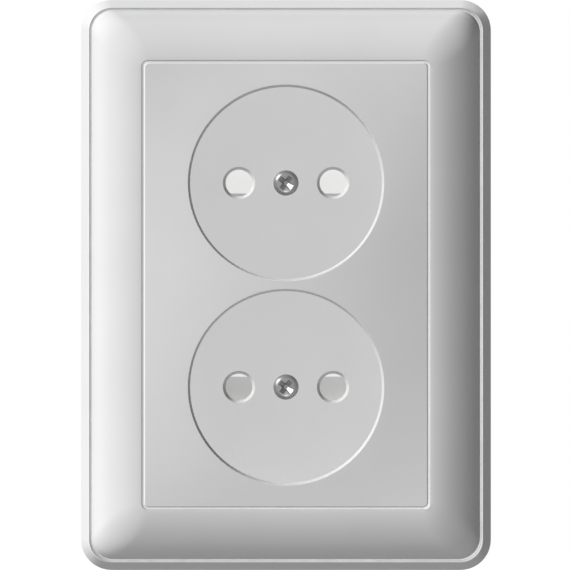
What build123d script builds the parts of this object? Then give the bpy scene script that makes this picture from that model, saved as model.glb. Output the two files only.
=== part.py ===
from build123d import *
import math
import os

# Double wall socket. Every piece is modelled face up: X runs across the face, Y runs up the
# face and Z comes out of the wall, whose plane is Z = 0. upright() stands the pieces up at the end.

# Outer frame
frame_band = 12.6
frame_corner_radius = 6.1
rim_run = 1.5
rim_height = 4.4
rim_foot = 2.0
groove_width = 0.7
groove_depth = 0.6
face_height = 11.6
frame_wall = 2.0
crest_overrun = 0.7
crest_break = 30.0
crest_corner_radius = 4.4
mouth_chamfer = 0.3
ledge_width = 1.4
ledge_thickness = 1.6
frame_rib = 1.2
side_rib_y = 25.0
end_rib_x = 16.0

# Cover with its two wells
cover_side_margin = 9.05
cover_end_margin = 4.65
seam_corner_radius = 1.0
seam_gap = 0.15
cover_wall = 2.0
cover_crown = 2.2
cover_chamfer = 0.4
skirt_wall = 2.0
skirt_depth = 3.2
skirt_clearance = 0.2
cover_rib = 1.2
well_floor_radius = 19.3
well_draft = 0.45
well_foot = 1.2
well_land = 1.7
well_wall = 1.5
cup_sides = 16
well_floor_height = 3.6
well_floor = 2.0

# Plug pins
pin_spacing = 19.0
pin_radius = 2.4
pin_hole_clearance = 0.55

# Cover screws and nuts
cover_screw_radius = 1.5
cover_screw_head_radius = 2.6
cover_screw_head = 0.8
cover_screw_sink = 1.1
cover_screw_tip_gap = 0.1
cover_screw_bevel = 0.3
drive_width = 0.75
drive_length = 3.3
drive_depth = 1.1
drive_turn = 45.0
nut_side = 5.5
nut_thickness = 2.3
nut_depth = 2.2

# Support plate
plate_gap = 3.9
plate_thickness = 1.2
plate_corner_radius = 6.0
aperture_gap = 0.4
box_screw_spacing = 60.0
box_slot_width = 4.2
box_slot_length = 7.4
tab_y = 14.5
tab_width = 5.0
tab_gap = 0.2
tab_hook = 2.4

# Shutters and their springs
shutter_margin = 4.1
shutter_gap = 0.3
shutter_bottom_gap = 0.1
shutter_top_gap = 0.3
ridge_offset = 2.1
ramp_reach = 4.2
ramp_toe = 0.5
ramp_inner_edge = 5.4
back_slope_run = 1.6
back_slope_drop = 1.2
bridge_back = 8.1
bridge_front = 5.1
toe_corner = 2.0
spring_radius = 1.15
spring_wire = 0.36
spring_turns = 5
spring_sides = 6
spring_peg = 1.1
spring_peg_length = 1.5
spring_seat_gap = 0.05

# Tray that closes the contact chambers and guides the shutters
tray_wall = 1.3
tray_floor_top = -2.9
tray_floor = 1.9
tray_corner_radius = 4.0
tray_clearance = 0.2
tray_window = 5.8
tray_boss_side = 6.4
tray_boss_gap = 0.1
middle_rib = 3.2

# Base
base_side_wall = 2.1
base_end_wall = 3.4
base_depth = 25.0
box_gap = 1.0
chamber_width = 8.4
chamber_end = 4.6
chamber_bottom = -18.0
terminal_pocket_width = 10.8
terminal_pocket_height = 15.0
wire_channel_width = 7.2
wire_channel_top = -19.4
lug_reach = 3.2
lug_width = 7.4
lug_thickness = 4.0

# Contacts and terminals
strap_thickness = 0.8
strap_width = 7.6
strap_end = 3.9
leaf_thickness = 0.7
leaf_width = 6.4
leaf_pinch = 0.4
leaf_mouth = 6.0
leaf_top = -5.7
leaf_grip_height = -8.6
leaf_bend_height = -13.5
terminal_boss = 1.6
terminal_screw_radius = 1.75
terminal_head_radius = 3.2
terminal_head = 2.2
terminal_travel = 3.0
clamp_gap = 0.2
clamp_side_gap = 0.3
clamp_height = 8.6
clamp_thickness = 1.2
slot_width = 0.9
slot_depth = 1.1
terminal_slot_turn = 25.0
claw_slot_turn = 30.0

# Claws
claw_offset = 8.0
claw_pivot_z = -4.0
claw_pin_radius = 1.0
claw_eye_wall = 1.2
claw_width = 6.4
claw_thickness = 1.5
claw_arm_reach = 6.4
claw_foot_z = -24.0
claw_foot_run = 2.0
claw_tooth = 1.6
claw_lever = 4.5
claw_screw_radius = 1.5
claw_screw_head_radius = 2.75
claw_screw_head = 2.0
claw_screw_stand = 4.8
claw_screw_tip_gap = 0.3
ear_gap = 0.4
ear_thickness = 1.2
ear_margin = 1.8
pin_overhang = 0.5

# Running clearance of a screw or pin in its hole
hole_clearance = 0.1

# Levels and places that follow from the sizes above
well_mouth_radius = well_floor_radius + well_draft
well_y = well_mouth_radius + well_land / 2
pin_x = pin_spacing / 2
pin_hole_radius = pin_radius + pin_hole_clearance
leaf_grip = 2 * pin_radius - leaf_pinch
seam_width = 2 * (well_mouth_radius + cover_side_margin)
seam_height = 2 * (well_y + well_mouth_radius + cover_end_margin)
frame_width = seam_width + 2 * frame_band
frame_height = seam_height + 2 * frame_band
cover_underside = face_height - cover_wall
well_underside = well_floor_height - well_floor
groove_inset = rim_run + groove_width
groove_floor = rim_height - groove_depth
opening_width = seam_width + 2 * seam_gap
opening_height = seam_height + 2 * seam_gap
cover_width = seam_width - 2 * seam_gap
cover_height = seam_height - 2 * seam_gap
ledge_opening_width = opening_width - 2 * ledge_width
ledge_opening_height = opening_height - 2 * ledge_width
ledge_bottom = cover_underside - ledge_thickness
tray_bottom = tray_floor_top - tray_floor
shutter_top = well_underside - shutter_top_gap
shutter_bottom = tray_floor_top + shutter_bottom_gap
ridge_y = well_y - ridge_offset
toe_y = well_y + ramp_reach
bridge_y = well_y - bridge_back
bridge_top = shutter_top - back_slope_drop
spring_z = (shutter_bottom + bridge_top) / 2
shutter_half_width = pin_x + shutter_margin
tray_inner_width = 2 * (shutter_half_width + shutter_gap)
tray_inner_height = 2 * (toe_y + shutter_gap)
tray_width = tray_inner_width + 2 * tray_wall
tray_height = tray_inner_height + 2 * tray_wall
base_width = tray_width + 2 * (tray_clearance + base_side_wall)
base_height = tray_height + 2 * (tray_clearance + base_end_wall)
chamber_length = 2 * (well_y + chamber_end)
plate_width = frame_width - 2 * (rim_foot + plate_gap)
strap_length = 2 * (well_y + strap_end)
strap_top = chamber_bottom + strap_thickness
clamp_top = chamber_bottom - clamp_gap - terminal_travel
clamp_bottom = clamp_top - clamp_thickness
clamp_width = terminal_pocket_width - 2 * clamp_side_gap
ear_inner = claw_width / 2 + ear_gap
ear_outer = ear_inner + ear_thickness
ear_reach = claw_pin_radius + ear_margin
claw_pivot_x = base_width / 2 + claw_offset
claw_screw_x = claw_pivot_x - claw_lever
claw_arm_top = claw_pivot_z + claw_eye_wall
nut_top = tray_bottom - nut_depth
nut_bottom = nut_top - nut_thickness
lug_x = base_width / 2 + lug_reach
screw_bore = cover_screw_radius + hole_clearance


def outline(width, height, radius, z):
    return Pos(0, 0, z) * RectangleRounded(width, height, radius)


def slab(width, height, radius, low, high):
    return extrude(outline(width, height, radius, low), amount=high - low)


def taper(width, height, radius, low, high, inset):
    # A slab that draws in by inset from its low level to its high level
    slope = math.degrees(math.atan2(inset, abs(high - low)))
    return extrude(outline(width, height, radius, low), amount=high - low, taper=slope)


def block(x_ends, y_ends, z_ends):
    centre = [(low + high) / 2 for low, high in (x_ends, y_ends, z_ends)]
    size = [abs(high - low) for low, high in (x_ends, y_ends, z_ends)]
    return Pos(*centre) * Box(*size)


def post(x, y, radius, low, high):
    return Pos(x, y, (low + high) / 2) * Cylinder(radius, high - low)


def funnel(x, y, low_radius, high_radius, low, high):
    return Pos(x, y, (low + high) / 2) * Cone(low_radius, high_radius, high - low)


def below(shape):
    return mirror(shape, about=Plane.XZ)


def left(shape):
    return mirror(shape, about=Plane.YZ)


def frame_taper(inset, low, high, draw):
    radius = frame_corner_radius - inset
    return taper(frame_width - 2 * inset, frame_height - 2 * inset, radius, low, high, draw)


def crest_arcs(length, wall):
    # Upright at the groove, then two tangent arcs that flatten towards the opening
    run = frame_band - seam_gap - groove_inset + crest_overrun
    rise = face_height - groove_floor
    sine = math.sin(math.radians(crest_break))
    cosine = math.cos(math.radians(crest_break))
    scale = sine * cosine - (1 - sine) * (1 - cosine)
    top_radius = (run * cosine - rise * (1 - sine)) / scale
    side_radius = (rise * sine - run * (1 - cosine)) / scale
    side_x = length / 2 - groove_inset - side_radius
    top_x = side_x - (top_radius - side_radius) * sine
    top_z = groove_floor - (top_radius - side_radius) * cosine
    turn = 90 - crest_break
    side = CenterArc((side_x, groove_floor), side_radius - wall, 0, turn)
    top = CenterArc((top_x, top_z), top_radius - wall, turn, crest_break)
    return side, top


def crest_section(length, wall):
    side, top = crest_arcs(length, wall)
    far_top = mirror(top, about=Plane.YZ)
    far_side = mirror(side, about=Plane.YZ)
    flat = Line(top @ 1, far_top @ 1)
    floor = Line(far_side @ 0, side @ 0)
    return make_face([side, top, flat, far_top, far_side, floor])


def crest(wall):
    across = extrude(Plane.XZ * crest_section(frame_width, wall), amount=frame_height, both=True)
    along = extrude(Plane.YZ * crest_section(frame_height, wall), amount=frame_width, both=True)
    return across & along


def crest_corner():
    # The section turned about an upright axis, so the crest's corner is round at the groove
    radius = crest_corner_radius
    corner_x = frame_width / 2 - groove_inset - radius
    corner_y = frame_height / 2 - groove_inset - radius
    section = crest_section(frame_width, 0)
    wedge = Pos(corner_x + radius / 2, face_height / 2) * Rectangle(radius, face_height)
    profile = Pos(-corner_x, 0) * (section & wedge)
    quarter = revolve(Plane.XZ * profile, Axis.Z, revolution_arc=90)
    reach = frame_corner_radius
    square = block((corner_x, corner_x + reach), (corner_y, corner_y + reach), (0, face_height))
    return Pos(corner_x, corner_y, 0) * quarter, square


def rounded_crest():
    quarter, square = crest_corner()
    body = crest(0)
    for corner in (square, left(square), below(square), left(below(square))):
        body -= corner
    for corner in (quarter, left(quarter), below(quarter), left(below(quarter))):
        body += corner
    return body


def frame_ribs():
    # Thin webs under the crest between the outer wall and the ledge ring
    low = groove_floor
    half = frame_rib / 2
    ribs = []
    for side in (-1, 1):
        outer_x = side * frame_width / 2
        inner_x = side * opening_width / 2
        outer_y = side * frame_height / 2
        inner_y = side * opening_height / 2
        for place in (-side_rib_y, side_rib_y):
            ribs.append(block((outer_x, inner_x), (place - half, place + half), (low, face_height)))
        for place in (-end_rib_x, end_rib_x):
            ribs.append(block((place - half, place + half), (outer_y, inner_y), (low, face_height)))
    envelope = crest(frame_wall / 2)
    return [rib & envelope for rib in ribs]


def outer_frame():
    rim = frame_taper(0, 0, rim_height, rim_run)
    groove = frame_taper(rim_run, rim_height, groove_floor, groove_width)
    above = face_height + rim_height
    opening = slab(opening_width, opening_height, seam_corner_radius, cover_underside, above)
    shell = rim - groove + (rounded_crest() - opening)
    foot_top = groove_floor - frame_wall
    body_inset = groove_inset + frame_wall
    foot = frame_taper(rim_foot, 0, foot_top, 0)
    foot += frame_taper(rim_foot, foot_top, groove_floor, body_inset - rim_foot)
    shell -= foot + crest(frame_wall)
    ring_width = opening_width + 2 * frame_wall
    ring_height = opening_height + 2 * frame_wall
    ring_top = cover_underside + frame_wall / 2
    shell += slab(ring_width, ring_height, seam_corner_radius, ledge_bottom, ring_top)
    shell += frame_ribs()
    shell -= slab(ledge_opening_width, ledge_opening_height, seam_corner_radius, 0, face_height)
    shell -= opening
    edge_low = face_height - 2 * mouth_chamfer
    edge_rise = 4 * mouth_chamfer
    edge_high = edge_low + edge_rise
    mouth = taper(opening_width, opening_height, seam_corner_radius, edge_low, edge_high, -edge_rise)
    return shell - mouth


def crowned_face(width, height, edge_z, crown):
    # A biquadratic patch: level along its edges and crown high in the middle
    xs = (-width / 2, 0, width / 2)
    ys = (-height / 2, 0, height / 2)
    peak = edge_z + 4 * crown
    points = [[Vector(x, y, peak if x == y == 0 else edge_z) for y in ys] for x in xs]
    return Face.make_bezier_surface(points)


def cover_plate():
    ceiling = face_height + 2 * cover_crown
    top = crowned_face(seam_width, seam_height, face_height, cover_crown)
    cap = extrude(top, amount=-2 * cover_wall - cover_crown, dir=(0, 0, 1))
    edge_low = face_height - cover_chamfer
    edge_high = face_height + cover_chamfer
    draw = 2 * cover_chamfer
    envelope = slab(cover_width, cover_height, seam_corner_radius, cover_underside, edge_low)
    envelope += taper(cover_width, cover_height, seam_corner_radius, edge_low, edge_high, draw)
    inner_width = cover_width - 2 * draw
    inner_height = cover_height - 2 * draw
    envelope += slab(inner_width, inner_height, seam_corner_radius - draw, edge_high, ceiling)
    plate = envelope & cap
    skirt_width = ledge_opening_width - 2 * skirt_clearance
    skirt_height = ledge_opening_height - 2 * skirt_clearance
    skirt_low = cover_underside - skirt_depth
    skirt = slab(skirt_width, skirt_height, seam_corner_radius, skirt_low, cover_underside)
    inner_width = skirt_width - 2 * skirt_wall
    inner_height = skirt_height - 2 * skirt_wall
    skirt -= slab(inner_width, inner_height, seam_corner_radius, skirt_low, cover_underside)
    plate += skirt
    rib_x = skirt_width / 2 - skirt_wall / 2
    half = cover_rib / 2
    for y in (-well_y, well_y):
        plate += block((-rib_x, rib_x), (y - half, y + half), (skirt_low, cover_underside))
        cup = Pos(0, y, well_underside) * RegularPolygon(well_mouth_radius + well_wall, cup_sides)
        plate += extrude(cup, amount=cover_underside - well_underside)
    sink_radius = cover_screw_head_radius + hole_clearance
    sink_low = well_floor_height - cover_screw_sink
    foot_top = well_floor_height + well_foot
    for y in (-well_y, well_y):
        plate -= funnel(0, y, well_floor_radius, well_mouth_radius, well_floor_height, foot_top)
        plate -= post(0, y, well_mouth_radius, foot_top, ceiling)
        plate -= post(0, y, screw_bore, well_underside, sink_low)
        plate -= post(0, y, sink_radius, sink_low, well_floor_height)
        for x in (-pin_x, pin_x):
            plate -= post(x, y, pin_hole_radius, well_underside, well_floor_height)
    return plate


def cover_screw(y):
    # A sunk head, raised above the well's floor, with a cross recess
    sink_low = well_floor_height - cover_screw_sink
    head_top = well_floor_height + cover_screw_head
    bevel_low = head_top - cover_screw_bevel
    top_radius = cover_screw_head_radius - cover_screw_bevel
    screw = post(0, y, cover_screw_radius, nut_bottom + cover_screw_tip_gap, sink_low)
    screw += post(0, y, cover_screw_head_radius, sink_low, bevel_low)
    screw += funnel(0, y, cover_screw_head_radius, top_radius, bevel_low, head_top)
    bar = Box(drive_length, drive_width, 2 * drive_depth)
    for turn in (drive_turn, drive_turn + 90):
        screw -= Pos(0, y, head_top) * Rot(0, 0, turn) * bar
    return screw


def cover_nut(y):
    half = nut_side / 2
    nut = block((-half, half), (y - half, y + half), (nut_bottom, nut_top))
    return nut - post(0, y, screw_bore, nut_bottom, nut_top)


def shutter():
    # The upper shutter: two ramps under the pin holes, joined by a bridge behind them
    ramp = [
        (bridge_y, shutter_bottom),
        (toe_y, shutter_bottom),
        (toe_y, shutter_bottom + ramp_toe),
        (ridge_y, shutter_top),
        (ridge_y - back_slope_run, bridge_top),
        (bridge_y, bridge_top),
    ]
    profile = make_face(Plane.YZ * Polyline(*ramp, close=True))
    body = extrude(profile, amount=shutter_half_width, both=True)
    notch_x = (-ramp_inner_edge, ramp_inner_edge)
    body -= block(notch_x, (well_y - bridge_front, toe_y), (shutter_bottom, shutter_top))
    corners = [
        edge
        for edge in body.edges().filter_by(Axis.Z)
        if abs(edge.center().X) > ramp_inner_edge + shutter_gap and edge.center().Y > well_y
    ]
    body = chamfer(corners, toe_corner)
    half = spring_peg / 2
    peg_z = (spring_z - half, spring_z + half)
    return body + block((-half, half), (bridge_y - spring_peg_length, bridge_y), peg_z)


def shutter_spring():
    # Coiled between the middle rib of the tray and the upper shutter's bridge
    start = middle_rib / 2 + spring_seat_gap + spring_wire
    end = bridge_y - spring_seat_gap - spring_wire
    steps = spring_turns * spring_sides
    points = []
    for step in range(steps + 1):
        angle = 2 * math.pi * step / spring_sides
        x = spring_radius * math.cos(angle)
        z = spring_z + spring_radius * math.sin(angle)
        points.append((x, start + (end - start) * step / steps, z))
    path = Polyline(*points)
    wire = Plane(path @ 0, z_dir=path % 0) * Rectangle(spring_wire, spring_wire)
    return sweep(wire, path=path, transition=Transition.RIGHT)


def contact_tray():
    tray = slab(tray_width, tray_height, tray_corner_radius, tray_bottom, shutter_top)
    inner_radius = tray_corner_radius - tray_wall
    tray -= slab(tray_inner_width, tray_inner_height, inner_radius, tray_floor_top, shutter_top)
    half_rib = middle_rib / 2
    half_width = tray_inner_width / 2
    tray += block((-half_width, half_width), (-half_rib, half_rib), (tray_floor_top, shutter_top))
    half_peg = spring_peg / 2
    peg_z = (spring_z - half_peg, spring_z + half_peg)
    reach = half_rib + spring_peg_length
    tray += block((-half_peg, half_peg), (-reach, reach), peg_z)
    half = tray_window / 2
    half_boss = tray_boss_side / 2
    boss_z = (tray_floor_top, well_underside - tray_boss_gap)
    for y in (-well_y, well_y):
        tray += block((-half_boss, half_boss), (y - half_boss, y + half_boss), boss_z)
        tray -= post(0, y, screw_bore, tray_bottom, well_underside)
        for x in (-pin_x, pin_x):
            tray -= block((x - half, x + half), (y - half, y + half), (tray_bottom, tray_floor_top))
    return tray


def socket_base():
    footprint = Rectangle(base_width, base_height) & Circle(base_height / 2 + box_gap)
    base = extrude(Pos(0, 0, -base_depth) * footprint, amount=base_depth)
    half_lug = lug_width / 2
    for y in (-tab_y, tab_y):
        base += block((-lug_x, lug_x), (y - half_lug, y + half_lug), (-lug_thickness, 0))
    recess_width = tray_width + 2 * tray_clearance
    recess_height = tray_height + 2 * tray_clearance
    base -= slab(recess_width, recess_height, tray_corner_radius + tray_clearance, tray_bottom, 0)
    half_chamber = chamber_width / 2
    half_pocket = terminal_pocket_width / 2
    half_channel = wire_channel_width / 2
    chamber_y = (-chamber_length / 2, chamber_length / 2)
    pocket_y = (-terminal_pocket_height / 2, terminal_pocket_height / 2)
    channel_y = (-base_height / 2, base_height / 2)
    for x in (-pin_x, pin_x):
        base -= block((x - half_chamber, x + half_chamber), chamber_y, (chamber_bottom, tray_bottom))
        base -= block((x - half_pocket, x + half_pocket), pocket_y, (-base_depth, chamber_bottom))
        base -= block((x - half_channel, x + half_channel), channel_y, (-base_depth, wire_channel_top))
    half = nut_side / 2 + hole_clearance
    slot_z = (nut_bottom - hole_clearance, nut_top)
    for y in (-well_y, well_y):
        base -= post(0, y, screw_bore, nut_top, tray_bottom)
        base -= block((-half, pin_x), (y - half, y + half), slot_z)
    return base


def contact_strip():
    # The right-hand pole: a strap with a spring clip behind each well and a tapped terminal hole
    half = strap_width / 2
    strap_x = (pin_x - half, pin_x + half)
    strip = block(strap_x, (-strap_length / 2, strap_length / 2), (chamber_bottom, strap_top))
    strip += block(strap_x, (-half, half), (strap_top, strap_top + terminal_boss))
    middle = leaf_thickness / 2
    line = Polyline(
        (half - middle, chamber_bottom + middle),
        (half - middle, leaf_bend_height),
        (leaf_grip / 2 + middle, leaf_grip_height),
        (leaf_mouth / 2 + middle, leaf_top),
    )
    leaf = extrude(Plane.XZ * trace(line, leaf_thickness), amount=leaf_width / 2, both=True)
    clip = leaf + left(leaf)
    for y in (-well_y, well_y):
        strip += Pos(pin_x, y, 0) * clip
    tapped = terminal_screw_radius + hole_clearance
    return strip - post(pin_x, 0, tapped, chamber_bottom, strap_top + terminal_boss)


def terminal_clamp():
    half_width = clamp_width / 2
    half_height = clamp_height / 2
    x_ends = (pin_x - half_width, pin_x + half_width)
    clamp = block(x_ends, (-half_height, half_height), (clamp_bottom, clamp_top))
    return clamp - post(pin_x, 0, terminal_screw_radius + hole_clearance, clamp_bottom, clamp_top)


def terminal_screw():
    head_low = clamp_bottom - terminal_head
    screw = post(pin_x, 0, terminal_head_radius, head_low, clamp_bottom)
    screw += post(pin_x, 0, terminal_screw_radius, clamp_bottom, strap_top + terminal_boss)
    slot = Box(2 * terminal_head_radius, slot_width, 2 * slot_depth)
    return screw - Pos(pin_x, 0, head_low) * Rot(0, 0, terminal_slot_turn) * slot


def claw_ear():
    # A lug folded back from the sheet beside the claw, with the cut-out that it was folded from
    x_ends = (claw_pivot_x - ear_reach, claw_pivot_x + ear_reach)
    ear_low = claw_pivot_z - ear_reach
    ear = block(x_ends, (ear_inner, ear_outer), (ear_low, plate_thickness))
    hole = Pos(claw_pivot_x, (ear_inner + ear_outer) / 2, claw_pivot_z) * Rot(90, 0, 0)
    ear -= hole * Cylinder(claw_pin_radius + hole_clearance / 2, 2 * ear_thickness)
    window = block(x_ends, (ear_outer, ear_outer - ear_low), (0, plate_thickness))
    return ear, window


def base_tab():
    # A strip folded back from the sheet and hooked behind a lug of the base
    inner_x = lug_x + tab_gap
    outer_x = inner_x + plate_thickness
    y_ends = (tab_y - tab_width / 2, tab_y + tab_width / 2)
    hook_top = -lug_thickness - hole_clearance
    hook_low = hook_top - plate_thickness
    tab = block((inner_x, outer_x), y_ends, (hook_low, plate_thickness))
    return tab + block((inner_x - tab_hook, outer_x), y_ends, (hook_low, hook_top))


def support_plate():
    sheet = slab(plate_width, plate_width, plate_corner_radius, 0, plate_thickness)
    aperture_width = tray_width + 2 * aperture_gap
    aperture_height = tray_height + 2 * aperture_gap
    sheet -= slab(aperture_width, aperture_height, tray_corner_radius + aperture_gap, 0, plate_thickness)
    slot = extrude(SlotOverall(box_slot_length, box_slot_width), amount=plate_thickness)
    tapped = claw_screw_radius + hole_clearance
    ear, window = claw_ear()
    folds = ear + base_tab()
    for x in (-1, 1):
        sheet -= Pos(x * box_screw_spacing / 2, 0, 0) * slot
        sheet -= post(x * claw_screw_x, 0, tapped, 0, plate_thickness)
    right_folds = folds + below(folds)
    right_windows = window + below(window)
    sheet -= right_windows + left(right_windows)
    return sheet + right_folds + left(right_folds)


def claw():
    # The right-hand claw: an eye on its pin, an arm under the jack screw and a toothed leg
    pin_bore = claw_pin_radius + hole_clearance / 2
    eye_radius = pin_bore + claw_eye_wall
    arm_centre = (claw_pivot_x - claw_arm_reach / 2, claw_arm_top - claw_thickness / 2)
    pivot = Pos(claw_pivot_x, claw_pivot_z)
    leg_x = claw_pivot_x + eye_radius - claw_thickness / 2
    leg = Polyline(
        (leg_x, claw_pivot_z),
        (leg_x, claw_foot_z + 2 * claw_foot_run),
        (leg_x + claw_foot_run, claw_foot_z),
    )
    side_view = pivot * Circle(eye_radius) + Pos(*arm_centre) * Rectangle(claw_arm_reach, claw_thickness)
    side_view = side_view + trace(leg, claw_thickness) - pivot * Circle(pin_bore)
    body = extrude(Plane.XZ * side_view, amount=claw_width / 2, both=True)
    notch = Rot(45, 0, 0) * Box(4 * claw_foot_run, claw_tooth, claw_tooth)
    for y in (-claw_width / 4, claw_width / 4):
        body -= Pos(leg_x + claw_foot_run, y, claw_foot_z - claw_thickness / 2) * notch
    return body


def claw_pin():
    pin = Cylinder(claw_pin_radius, 2 * (ear_outer + pin_overhang))
    return Pos(claw_pivot_x, 0, claw_pivot_z) * Rot(90, 0, 0) * pin


def claw_screw():
    # A jack screw that bears on the claw's arm
    tip = claw_arm_top + claw_screw_tip_gap
    head_low = plate_thickness + claw_screw_stand
    head_top = head_low + claw_screw_head
    screw = post(claw_screw_x, 0, claw_screw_radius, tip, head_low)
    screw += post(claw_screw_x, 0, claw_screw_head_radius, head_low, head_top)
    slot = Box(2 * claw_screw_head_radius, slot_width, 2 * slot_depth)
    return screw - Pos(claw_screw_x, 0, head_top) * Rot(0, 0, claw_slot_turn) * slot


def upright(shape):
    return Rot(90, 0, 0) * shape


pieces = {
    "outer_frame": outer_frame(),
    "cover_plate": cover_plate(),
    "contact_tray": contact_tray(),
    "socket_base": socket_base(),
    "support_plate": support_plate(),
    "cover_screw_upper": cover_screw(well_y),
    "cover_screw_lower": cover_screw(-well_y),
    "cover_nut_upper": cover_nut(well_y),
    "cover_nut_lower": cover_nut(-well_y),
    "shutter_upper": shutter(),
    "shutter_lower": below(shutter()),
    "shutter_spring_upper": shutter_spring(),
    "shutter_spring_lower": below(shutter_spring()),
    "contact_strip_right": contact_strip(),
    "contact_strip_left": left(contact_strip()),
    "terminal_clamp_right": terminal_clamp(),
    "terminal_clamp_left": left(terminal_clamp()),
    "terminal_screw_right": terminal_screw(),
    "terminal_screw_left": left(terminal_screw()),
    "claw_right": claw(),
    "claw_left": left(claw()),
    "claw_pin_right": claw_pin(),
    "claw_pin_left": left(claw_pin()),
    "claw_screw_right": claw_screw(),
    "claw_screw_left": left(claw_screw()),
}

os.makedirs("parts", exist_ok=True)
for name, shape in pieces.items():
    export_step(upright(shape), f"parts/{name}.step")
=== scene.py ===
import math

import bmesh
import bpy
from mathutils import Matrix, Vector


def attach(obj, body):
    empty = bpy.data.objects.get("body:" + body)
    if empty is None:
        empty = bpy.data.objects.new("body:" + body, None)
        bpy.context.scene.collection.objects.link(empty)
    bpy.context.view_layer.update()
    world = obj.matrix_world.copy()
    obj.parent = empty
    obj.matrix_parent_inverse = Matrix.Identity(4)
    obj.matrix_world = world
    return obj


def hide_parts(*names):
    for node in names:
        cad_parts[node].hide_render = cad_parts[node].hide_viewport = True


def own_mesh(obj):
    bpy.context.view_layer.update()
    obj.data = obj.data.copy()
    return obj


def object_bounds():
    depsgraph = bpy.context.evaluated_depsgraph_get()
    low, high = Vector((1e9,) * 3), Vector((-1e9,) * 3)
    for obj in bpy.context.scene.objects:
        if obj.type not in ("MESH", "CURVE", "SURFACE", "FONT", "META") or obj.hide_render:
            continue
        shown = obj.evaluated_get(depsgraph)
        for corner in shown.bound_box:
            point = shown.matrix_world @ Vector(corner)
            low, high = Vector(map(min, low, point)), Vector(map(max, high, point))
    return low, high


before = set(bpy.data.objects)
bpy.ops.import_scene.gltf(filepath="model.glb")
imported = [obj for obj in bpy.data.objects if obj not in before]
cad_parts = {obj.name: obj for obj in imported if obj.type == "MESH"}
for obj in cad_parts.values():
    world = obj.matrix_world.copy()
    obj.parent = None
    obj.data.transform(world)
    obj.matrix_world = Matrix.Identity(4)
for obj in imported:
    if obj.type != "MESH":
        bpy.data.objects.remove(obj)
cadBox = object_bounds()
print("frame loaded:", len(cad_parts), "nodes")

# Pieces are modelled face up in millimetres: X across, Y up the face, Z out of the wall
standUp = Matrix.Scale(0.001, 4) @ Matrix.Rotation(math.radians(90), 4, "X")
scene = bpy.context.scene


# Node helpers

def makeGroup(name, inputs, outputs):
    group = bpy.data.node_groups.new(name, "ShaderNodeTree")
    for label, kind, value in inputs:
        socket = group.interface.new_socket(label, in_out="INPUT", socket_type=kind)
        if value is not None:
            socket.default_value = value
    for label, kind in outputs:
        group.interface.new_socket(label, in_out="OUTPUT", socket_type=kind)
    return group, group.nodes.new("NodeGroupInput"), group.nodes.new("NodeGroupOutput")


def noiseOf(group, coords, scale, detail, roughness=0.5):
    noise = group.nodes.new("ShaderNodeTexNoise")
    noise.inputs["Detail"].default_value = detail
    noise.inputs["Roughness"].default_value = roughness
    group.links.new(coords, noise.inputs["Vector"])
    if isinstance(scale, (int, float)):
        noise.inputs["Scale"].default_value = scale
    else:
        group.links.new(scale, noise.inputs["Scale"])
    return noise.outputs["Fac"]


# A noise keeps to the middle of its range, so that part is spread over low to high
def spread(group, value, low, high):
    node = group.nodes.new("ShaderNodeMapRange")
    group.links.new(value, node.inputs["Value"])
    node.inputs["From Min"].default_value = 0.3
    node.inputs["From Max"].default_value = 0.7
    for socket, end in (("To Min", low), ("To Max", high)):
        if isinstance(end, (int, float)):
            node.inputs[socket].default_value = end
        else:
            group.links.new(end, node.inputs[socket])
    return node.outputs["Result"]


def mixColours(group, factor, first, second):
    node = group.nodes.new("ShaderNodeMix")
    node.data_type = "RGBA"
    group.links.new(factor, node.inputs["Factor"])
    group.links.new(first, node.inputs[6])
    group.links.new(second, node.inputs[7])
    return node.outputs[2]


def timesValue(group, first, second):
    node = group.nodes.new("ShaderNodeMath")
    node.operation = "MULTIPLY"
    node.use_clamp = True
    group.links.new(first, node.inputs[0])
    group.links.new(second, node.inputs[1])
    return node.outputs["Value"]


skinOutputs = [("Colour", "NodeSocketColor"), ("Roughness", "NodeSocketFloat"), ("Height", "NodeSocketFloat")]


# Painted shade: a dark colour laid unevenly into the corners and recesses that are marked for it face by face
paintedShadeNoise = {"patch": (420.0, 3.0), "least": 0.8, "most": 1.2}


def recessShadeGroup(noise):
    group, given, result = makeGroup(
        "recessShade",
        [
            ("Colour", "NodeSocketColor", None),
            ("Painted Shade Colour", "NodeSocketColor", None),
            ("Painted_shade", "NodeSocketFloat", 0.0),
        ],
        [("Colour", "NodeSocketColor")],
    )
    coords = group.nodes.new("ShaderNodeTexCoord").outputs["Object"]
    patchy = spread(group, noiseOf(group, coords, *noise["patch"]), noise["least"], noise["most"])
    amount = timesValue(group, given.outputs["Painted_shade"], patchy)
    darkened = mixColours(group, amount, given.outputs["Colour"], given.outputs["Painted Shade Colour"])
    group.links.new(darkened, result.inputs["Colour"])
    return group


recessShade = recessShadeGroup(paintedShadeNoise)


# lays the painted shade over a colour
def withPaintedShade(group, given, colour):
    node = group.nodes.new("ShaderNodeGroup")
    node.node_tree = recessShade
    group.links.new(colour, node.inputs["Colour"])
    for label in ("Painted Shade Colour", "Painted_shade"):
        group.links.new(given.outputs[label], node.inputs[label])
    return node.outputs["Colour"]


# Moulded skin: slow clouding in the colour, fine grain in the height, rubbed edges with more polish
mouldNoise = {
    "cloud": (60.0, 4.0), "speck": (900.0, 3.0), "scuff": (650.0, 4.0), "grainDetail": 2.0,
    "leastWear": 0.2, "polish": 0.7,
}


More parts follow.
